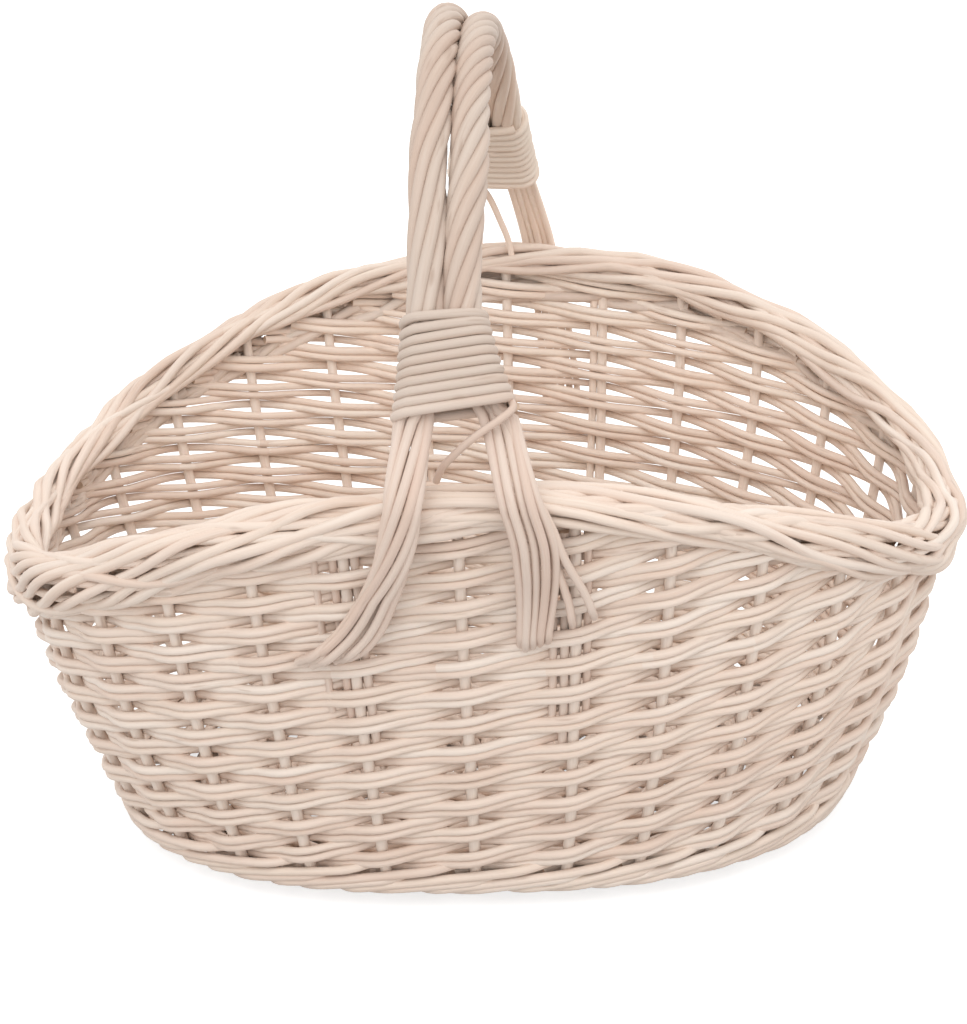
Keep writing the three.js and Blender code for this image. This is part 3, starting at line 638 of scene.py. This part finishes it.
# Handle: two ropes of twisted rods over the basket, whose ends spread into legs outside the wall.
# Tables by rope have -1 for the left and 1 for the right one, tables by end -1 for the front and 1
# for the back
handle = {
    "height": 370, "ropeRadius": 8.3, "rodThickness": 5.5, "rodCount": 7, "heartThickness": 7.02,
    "sizes": (0.94, 1.04), "wander": 0.3, "wanderSteps": 12, "seed": 600, "corners": 12, "steps": 70,
    "bowSpan": 360, "bowFoot": 135, "bowSquareness": 1.69, "bowEase": 0.12, "drop": 35,
    "middle": 3.8, "closeness": 0.8, "splayCurve": 1.4,
    "opening": 1.1, "openingHeight": 326, "openingReach": 11,  # a gap between the ropes in front
    # Twist of a rope in front and behind, with more of it at the top, and its lift there
    "twist": {-1: (0.023, 0.030), 1: (0.046, 0.022)}, "turnTop": 0.052, "turnReach": 62,
    "lift": {-1: 1.8, 1: -2.4}, "liftFrom": 270,
    # Each end of the bow: top of its binding, half the ropes' distance under it, and the ropes' middle
    "ends": {
        -1: {"top": 276, "splay": 15.6, "middleTop": 2.2, "middleBottom": 6.2},
        1: {"top": 289, "splay": 11.8, "middleTop": 4.4, "middleBottom": 2.8},
    },
}
bowTop = handle["height"] - handle["ropeRadius"]
ropeHalfGap = handle["ropeRadius"] - handle["closeness"]
easeSquare = handle["bowEase"] ** 2


def eased(share):
    n = handle["bowSquareness"]
    return max(0, 1 - ((share ** 2 + easeSquare) / (1 + easeSquare)) ** (n / 2)) ** (1 / n)


# Height of the bow at a distance from the basket's middle, and the other way round
def archZ(y):
    rise = eased(min(1, 2 * y / handle["bowSpan"])) / eased(0)
    return handle["bowFoot"] + (bowTop - handle["bowFoot"]) * rise


def archY(z):
    n = handle["bowSquareness"]
    rise = min(1, max(0, (z - handle["bowFoot"]) / (bowTop - handle["bowFoot"]))) * eased(0)
    square = (1 - rise ** n) ** (2 / n) * (1 + easeSquare) - easeSquare
    return handle["bowSpan"] / 2 * math.sqrt(max(0, square))


# Middle between the ropes and half their distance, at a height of one end of the bow
def ropePlace(front, z):
    end = handle["ends"][front]
    under = max(0, end["top"] - z) / handle["drop"]
    if under > 0:
        middle = end["middleTop"] + (end["middleBottom"] - end["middleTop"]) * under
    else:
        down = smoothStep(bowTop, end["top"], z)
        middle = handle["middle"] + (end["middleTop"] - handle["middle"]) * down
    apart = ropeHalfGap + (end["splay"] - ropeHalfGap) * under ** handle["splayCurve"]
    if front < 0:
        away = (z - handle["openingHeight"]) / handle["openingReach"]
        apart += handle["opening"] * math.exp(-away ** 2)
    return middle, apart


# The legs' way down in millimetres: height over the border's underside, and distance outward from the
# rim's middle line over the border, or from the wall
legWay = {
    "over": 10, "border": [(31, 13.6), (14, 14.4)], "wall": [(-4, 11.4), (-20, 8), (-36, 6.6)],
    "end": (125, 6.4), "gap": 3.0,
}


# Distance of the middle of a leg's rods from the basket's middle, over the border and down the wall
def legDistances(front):
    stakeAngle = stakeAngles[0 if front < 0 else basket["stakeCount"] // 2]
    low = crest(basket["handleShift"]) - basket["borderDepth"]
    start = handle["ends"][front]["top"] - handle["drop"]
    line = [(z, archY(z)) for z in (start + legWay["over"], start)]
    for rise, outward in legWay["border"]:
        line.append((low + rise, basket["rimWidth"] / 2 + outward + legWay["gap"]))
    for z, outward in [(low + rise, outward) for rise, outward in legWay["wall"]] + [legWay["end"]]:
        line.append((z, abs(wallPoint(stakeAngle, z, outward)[1]) + legWay["gap"]))
    return line


# Smooth value between known ones, a list of (where, value) from high to low
def valueAt(known, where):
    points = sorted(known)
    if where <= points[0][0]:
        return points[0][1]
    if where >= points[-1][0]:
        return points[-1][1]
    i = next(n for n, point in enumerate(points) if point[0] > where) - 1
    (x0, y0), (x1, y1) = points[i], points[i + 1]
    before = points[i - 1] if i > 0 else (2 * x0 - x1, 2 * y0 - y1)
    after = points[i + 2] if i + 2 < len(points) else (2 * x1 - x0, 2 * y1 - y0)
    slope0, slope1 = (y1 - before[1]) / (x1 - before[0]), (after[1] - y0) / (after[0] - x0)
    size, t = x1 - x0, (where - x0) / (x1 - x0)
    slope = (y1 - y0) / size
    return y0 + (y1 - y0) * t + t * (1 - t) * size * ((1 - t) * (slope0 - slope) - t * (slope1 - slope))


# A leg's middle line as (height, place), and its rods: offset at the binding, over the border and at
# the end, height of the end, and how far the rod lies over the others in between. A leg that stays
# twisted has the heights of its rods' ends and how its bundle turns and fans out
legs = {
    ("left", -1): {
        "size": 0.82,
        "middle": [(241, -10), (208, -15), (192, -18.4), (178, -23), (163, -29.8), (148, -39), (138, -48.5),
                   (128, -60)],
        "ends": [132, 131, 129, 133, 130, 129, 131, 130],
        "twist": 0.034, "twistEnd": 166, "firstTurn": 0.22, "fanFrom": 178,
        "bundle": (6.3, 1.5, 2.8), "fan": (10, 0, 1.2), "fanAside": 1.2,  # half width, lift and half height
    },
    ("right", -1): {
        "size": 0.75,
        "middle": [(241, 23.5), (234, 26), (208, 33.6), (192, 37.6), (178, 38), (163, 36.8), (148, 34.8),
                   (131, 32.6)],
        "rods": [(-5.6, -8, -5, 137, 0.6), (-1.8, -4.4, -2.8, 135, 2.6), (2.4, -0.3, 0.2, 136, 0.8),
                 (5.4, 4, 3.2, 137, 3), (6.4, 8, 6.4, 138, 0), (3.6, 10, 24.5, 150, -1.4),
                 (1.8, 6, 16, 146, -3)],
    },
    ("left", 1): {
        "size": 0.72,
        "middle": [(256, -11), (208, -16), (178, -22), (131, -27)],
        "rods": [(-6.4, -7.4, -8, 133, 0), (-3.2, -3.6, -4, 131, 1.4), (0.2, 0.3, 0, 130, 0.2),
                 (3.4, 3.9, 4, 131, 1.4), (6.4, 7.6, 8, 132, 0)],
    },
    ("right", 1): {
        "size": 0.72,
        "middle": [(256, 13.6), (246, 15.6), (208, 21), (178, 26), (131, 31)],
        "rods": [(-5.4, -6.6, -8, 132, 0), (-2.4, -3.3, -4, 130, 1.4), (0.4, 0.2, 0, 131, 0),
                 (3.2, 3.6, 4, 130, 1.4), (5.6, 6.9, 8, 133, 0)],
    },
}
legRod = {
    "thickness": 5.4, "sizes": (0.95, 1.05), "taper": 0.16, "wander": 0.25, "wanderSteps": 8, "steps": 50,
    "start": 9,  # so far above its binding's lower edge a rod starts, within the ropes
    "spreadTo": 180, "spreadEase": 4, "border": (202, 192),  # heights where the rods lie as over the border
    "inBinding": 0.8, "ruffle": 1.5, "ruffleOver": 10, "ruffleStep": 2.4,
    "dive": 8.5, "diveOver": 9, "diveCurve": 1.5,  # the ends go into the wall
}


# Offset across and lift off the wall of a rod in a twisted leg
def twistedPlace(leg, slot, z):
    turn = leg["firstTurn"] + 2 * math.pi * slot / len(leg["ends"])
    turn -= leg["twist"] * max(0, z - leg["twistEnd"])
    spread = smoothStep(leg["fanFrom"], min(leg["ends"]), z)
    wide, lift, high = (a + (b - a) * spread for a, b in zip(leg["bundle"], leg["fan"]))
    return wide * math.cos(turn) + leg["fanAside"] * spread, lift + high * math.sin(turn)


# Middle line of a rope, from its front end to its rear one, with its highest point in the middle
def ropeArch(side):
    steps, arch = handle["steps"], []
    for i in range(-steps, steps + 1):
        front = -1 if i < 0 else 1
        endY = archY(handle["ends"][front]["top"] - handle["drop"] + legRod["start"])
        y = endY * math.sin(math.pi / 2 * i / steps)
        z = archZ(abs(y))
        middle, apart = ropePlace(front, z)
        lift = handle["lift"][side] * smoothStep(handle["liftFrom"], bowTop, z)
        arch.append(Vector((middle + side * apart, y, z + lift)))
    return arch


def twistedRods(side, arch, chance):
    lengths = np.concatenate([[0], np.cumsum([(q - p).length for p, q in zip(arch, arch[1:])])])
    lengths -= lengths[handle["steps"]]
    reach = handle["turnReach"]
    spins = [handle["twist"][side][0 if s < 0 else 1] * s + handle["turnTop"] * reach * math.atan(s / reach)
             for s in lengths]
    ring = handle["ropeRadius"] - handle["rodThickness"] / 2
    rods = []
    for n in range(handle["rodCount"]):
        out, size = wander(chance, handle["wander"]), chance.uniform(*handle["sizes"])
        rod = []
        for i, point in enumerate(arch):
            onward = (arch[min(len(arch) - 1, i + 1)] - arch[max(0, i - 1)]).normalized()
            across = (Vector((1, 0, 0)) - onward * onward.x).normalized()
            up = onward.cross(across)
            turn = spins[i] + 2 * math.pi * n / handle["rodCount"]
            away = ring + out(i / handle["wanderSteps"])
            place = point + across * away * math.cos(turn) + up * away * math.sin(turn)
            rod.append((place, handle["rodThickness"] * size))
        rods.append(rod)
    return rods + [[(point, handle["heartThickness"]) for point in arch]]  # and the rod in the rope's heart


def legRods(name, side, front, chance):
    leg, distances = legs[(name, front)], legDistances(front)
    start = handle["ends"][front]["top"] - handle["drop"]
    highest = start + legRod["start"]
    borderTop, borderLow = legRod["border"]
    places = leg["rods"] if "rods" in leg else [(0, 0, 0, endZ, 0) for endZ in leg["ends"]]
    rods = []
    for slot, (atTop, atBorder, atEnd, endZ, over) in enumerate(places):
        out = wander(chance, legRod["wander"])
        size = leg["size"] * chance.uniform(*legRod["sizes"])
        rod = []
        for i in range(legRod["steps"] + 1):
            share = i / legRod["steps"]
            z = highest + (endZ - highest) * share
            high, low = smoothStep(start, borderTop, z), smoothStep(borderLow, endZ, z)
            spread = smoothStep(start + legRod["spreadEase"], legRod["spreadTo"], z)
            offset = atTop + (atBorder - atTop) * spread + (atEnd - atBorder) * low
            lift = over * high * (1 - low)
            if "ends" in leg:
                offset, lift = twistedPlace(leg, slot, z)
            ruffle = legRod["ruffle"] * (1 - smoothStep(start, start - legRod["ruffleOver"], z))
            dive = smoothStep(endZ + legRod["diveOver"], endZ, z) ** legRod["diveCurve"]
            away = valueAt(distances, z) + lift + out(i / legRod["wanderSteps"])
            away += ruffle * math.cos(slot * legRod["ruffleStep"]) - legRod["dive"] * dive
            x = valueAt(leg["middle"], z) + offset
            if z > start:
                middle, apart = ropePlace(front, z)
                x = middle + side * apart + legRod["inBinding"] * offset
            thickness = legRod["thickness"] * size * (1 - legRod["taper"] * share)
            rod.append((Vector((x, front * away, z)), thickness))
        rods.append(rod)
    return rods


for name, side in (("left", -1), ("right", 1)):
    chance = random.Random(handle["seed"] + side)
    rods = twistedRods(side, ropeArch(side), chance)
    for front in (-1, 1):
        rods += legRods(name, side, front, chance)
    layRods(name + "Rope", rods, ["handle_rope_" + name], "willow_rope", handle["corners"])

# Bindings: one rod wound round both ropes, whose end runs down to the border as a tie
binding = {
    "thickness": 4.3, "turns": 10, "perTurn": 36, "startShare": 6, "flat": 0.5, "flatness": 3, "tilt": 0.1,
    "tiltOver": 4, "over": 1, "loose": 0.2, "looseSteps": 20, "seed": 700, "corners": 10,
    "tie": 3.2, "tieSteps": 8,
    # Each tie's way down, by the end of the bow
    "ties": {
        -1: [(30, -149, 246), (30.5, -154, 245), (25.5, -158, 242), (18.5, -158.5, 237.5), (12, -157, 232),
             (5, -153.5, 224.5), (0, -150, 218), (-3, -147, 211)],
        1: [(-6, 137, 254), (-3, 140, 247), (0.6, 144, 239), (4.2, 147, 228), (7.4, 148.5, 218),
            (9, 149, 209)],
    },
}


# The winding starts behind the ropes, inside, and tieSide is the side where its tie begins
def bindingRod(front, tieSide):
    reach = handle["ropeRadius"] + binding["flat"]
    total = round((binding["turns"] + 0.5) * binding["perTurn"])
    loose = wander(random.Random(binding["seed"] + front), binding["loose"])
    rod = []
    for i in range(binding["perTurn"] // binding["startShare"], total + 1):
        turn = 2 * math.pi * i / binding["perTurn"]
        level = handle["ends"][front]["top"] + binding["over"]
        level -= (handle["drop"] + binding["over"]) * i / total
        middle, apart = ropePlace(front, level)
        c, s = -tieSide * math.cos(turn), math.sin(turn)
        side = max(-1, min(1, binding["flatness"] * c))
        x = side * apart + (reach + loose(i / binding["looseSteps"])) * c
        z = level - front * binding["tilt"] * x * smoothStep(0, total / binding["tiltOver"], i)
        slope = (archY(z + 1) - archY(z - 1)) / 2
        size = math.hypot(slope, 1)
        bulge = reach * s
        place = Vector((middle + x, front * (archY(z) - bulge / size), z + bulge * slope / size))
        rod.append((place, binding["thickness"]))
    return rod


# Round line through a few points
def throughPoints(corners):
    points = [Vector(c) for c in corners]
    points = [2 * points[0] - points[1]] + points + [2 * points[-1] - points[-2]]
    line = []
    for a, b, c, d in zip(points, points[1:], points[2:], points[3:]):
        for i in range(binding["tieSteps"]):
            t = i / binding["tieSteps"]
            bent = (2 * a - 5 * b + 4 * c - d) * t * t + (3 * b - a - 3 * c + d) * t ** 3
            line.append(0.5 * (2 * b + (c - a) * t + bent))
    return line + [points[-2]]


for name, front, tieSide in (("front", -1, 1), ("rear", 1, -1)):
    tie = [(point, binding["tie"]) for point in throughPoints(binding["ties"][front])]
    rods = [bindingRod(front, tieSide), tie]
    layRods(f"{name}Binding", rods, [f"{name}_binding"], "willow_rope", binding["corners"])
print("handle bound")

# Core rods of the handle, down in the wall beside the stakes under its legs: the stake, counted from 0,
# and each rod's distance aside from it, thickness and height of the lower end
coreRods = {
    "front_core_rod_left": (27, [(4.7, 3.9, 82), (-4.5, 3.6, 98), (-12.5, 3.3, 104)]),
    "front_core_rod_right": (1, [(-4.7, 3.9, 82), (4.9, 3.4, 100), (-9.4, 3.4, 94)]),
    "rear_core_rod_right": (13, [(4.7, 3.9, 82)]),
    "rear_core_rod_left": (15, [(-4.7, 3.9, 82)]),
}
coreRod = {
    "intoBorder": 8, "steps": 20, "wander": 0.3, "wanderSteps": 6, "seed": 800, "seedStep": 40,
    "corners": 10,
}
for name, (k, places) in coreRods.items():
    angle = stakeAngles[k]
    top = underside(angle) + coreRod["intoBorder"]
    rods = []
    for n, (aside, thickness, end) in enumerate(places):
        lean = wander(random.Random(coreRod["seed"] + k + coreRod["seedStep"] * n), coreRod["wander"])
        rod = []
        for i in range(coreRod["steps"] + 1):
            z = end + (top - end) * i / coreRod["steps"]
            rod.append((wallPoint(angle, z, lean(i / coreRod["wanderSteps"]), aside), thickness))
        rods.append(rod)
    words = name.split("_")
    layRods(words[0] + "CoreRod_" + words[3], rods, [name], "willow_rope", coreRod["corners"])
print("core rods set")

# Floor and studio: lamps in metres and watts, each with its place, its aim and its size
studio = {
    "worldStrength": 1.14, "worldColor": (1, 0.99, 0.98, 1),
    "floorSize": 8, "floorGlow": 0.7, "floorColor": (0.55, 0.55, 0.55, 1), "white": (1, 1, 1, 1),
    "lamps": {
        "keyLamp": ((-0.35, -2.6, 1.7), (0, 0, 0.15), 1.8, 6.2, (1, 0.985, 0.965)),
        "fillLamp": ((1.5, -1.4, 1.0), (0, 0, 0.12), 1.4, 2, (1, 0.975, 0.955)),
        "topLamp": ((0, -1.3, 2.0), (0, 0.1, 0.1), 1.4, 6.8, (1, 0.99, 0.975)),
        "backLamp": ((0.3, 1.6, 1.5), (0, 0, 0.15), 1.2, 3, (1, 1, 1)),
    },
}


# 1 for rays straight from the camera, by way of gloss or through glass, for which the ground stays white
def seenRays(tree):
    Shade.tree = tree
    path = Shade.node("ShaderNodeLightPath")
    kinds = ("Is Camera Ray", "Is Glossy Ray", "Is Transmission Ray")
    camera, glossy, clear = (Shade(path.outputs[kind]) for kind in kinds)
    return Shade.math("MINIMUM", camera + glossy + clear, 1)


def makeFloor():
    bpy.ops.mesh.primitive_plane_add(size=studio["floorSize"], location=(0, 0, 0))
    floor = bpy.context.object
    floor.name = "studioFloor"
    material = bpy.data.materials.new("paleFloor")
    material.use_nodes = True
    material.node_tree.nodes.clear()
    glow = seenRays(material.node_tree) * studio["floorGlow"]
    diffuse = Shade.node("ShaderNodeBsdfDiffuse", Color=studio["floorColor"])
    emission = Shade.node("ShaderNodeEmission", Color=studio["white"], Strength=glow)
    both = Shade.node("ShaderNodeAddShader", i0=Shade(diffuse.outputs[0]), i1=Shade(emission.outputs[0]))
    Shade.node("ShaderNodeOutputMaterial", Surface=Shade(both.outputs[0]))
    floor.data.materials.append(material)
    floor.select_set(False)


def makeWorld():
    world = bpy.data.worlds.new("studioWorld")
    bpy.context.scene.world = world
    world.use_nodes = True
    world.node_tree.nodes.clear()
    seen = seenRays(world.node_tree)
    light = Shade.node("ShaderNodeBackground", Color=studio["worldColor"], Strength=studio["worldStrength"])
    backdrop = Shade.node("ShaderNodeBackground", Color=studio["white"], Strength=1.0)
    light, backdrop = Shade(light.outputs[0]), Shade(backdrop.outputs[0])
    mixed = Shade.node("ShaderNodeMixShader", i0=seen, i1=light, i2=backdrop)
    Shade.node("ShaderNodeOutputWorld", Surface=Shade(mixed.outputs[0]))


def addLamp(name, place, aim, size, power, color):
    bpy.ops.object.light_add(type="AREA", location=place)
    lamp = bpy.context.object
    lamp.name = name
    lamp.data.shape = "DISK"
    lamp.data.size = size
    lamp.data.energy = power
    lamp.data.color = color
    lamp.rotation_euler = (Vector(place) - Vector(aim)).to_track_quat("Z", "Y").to_euler()
    lamp.select_set(False)


makeFloor()
makeWorld()
for name, settings in studio["lamps"].items():
    addLamp(name, *settings)
print("studio lit")

# Camera: the photo's own angle, in degrees and metres
view = {
    "turn": 5.40, "height": 22.99, "roll": 3.22, "distance": 1.46783, "aim": (0.0019, 0, 0.13436),
    "lens": 111.71, "sensor": 36, "clipStart": 0.05, "clipEnd": 50,
}
turn, height, roll = (math.radians(view[key]) for key in ("turn", "height", "roll"))
back = Vector((math.sin(turn) * math.cos(height), -math.cos(turn) * math.cos(height), math.sin(height)))
right = (-back).cross(Vector((0, 0, 1))).normalized()
up = right.cross(-back)
right, up = right * math.cos(roll) - up * math.sin(roll), right * math.sin(roll) + up * math.cos(roll)
place = Vector(view["aim"]) + back * view["distance"]
bpy.ops.object.camera_add()
camera = bpy.context.object
camera.matrix_world = Matrix.Translation(place) @ Matrix((right, up, back)).transposed().to_4x4()
camera.data.lens = view["lens"]
camera.data.sensor_width = view["sensor"]
camera.data.clip_start = view["clipStart"]
camera.data.clip_end = view["clipEnd"]
camera.select_set(False)
bpy.context.scene.camera = camera
bpy.context.scene.view_settings.view_transform = "Standard"
